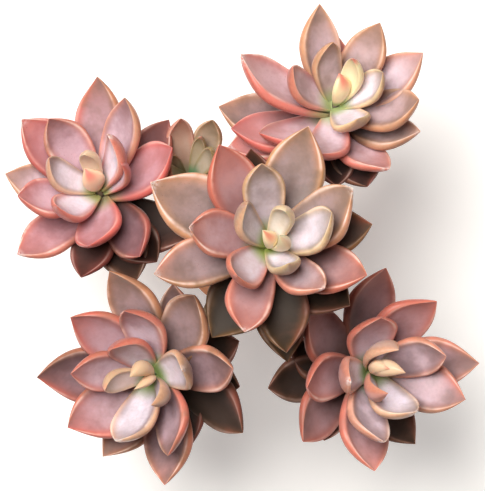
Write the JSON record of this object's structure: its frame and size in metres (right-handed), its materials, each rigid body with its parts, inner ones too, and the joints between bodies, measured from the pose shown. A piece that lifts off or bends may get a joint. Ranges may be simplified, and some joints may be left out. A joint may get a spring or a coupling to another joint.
{
  "type": "potted graptosedum",
  "caption": "Succulent with open rosettes of thick, pointed, copper-pink leaves on bare leaning stems, growing in soil in a small plain unglazed clay pot.",
  "frame": {"origin": "under the middle of the whole, on the surface that the pot stands on", "axes": "+Z up; +X right and +Y up in the picture, which looks straight down"},
  "size_m": [0.1596, 0.1616, 0.1303],
  "materials": {
    "clay": "unglazed, matt, with faint turning marks",
    "soil": "rough, dark, gritty",
    "stem": "matt bark with leaf scars",
    "leaf": "waxy, matt, copper-pink with coral margins and green bases",
    "leaf_green": "waxy, matt, green with salmon tips"
  },
  "bodies": {
    "root": {"pot": "clay", "soil": "soil", "stem_centre": "stem", "stem_upper_left": "stem", "stem_upper_right": "stem", "stem_lower_left": "stem", "stem_lower_right": "stem", "stem_offset": "stem", "head_centre": "leaf", "head_upper_left": "leaf", "head_upper_right": "leaf", "head_lower_left": "leaf", "head_lower_right": "leaf", "head_offset": "leaf_green"}
  },
  "joints": []
}
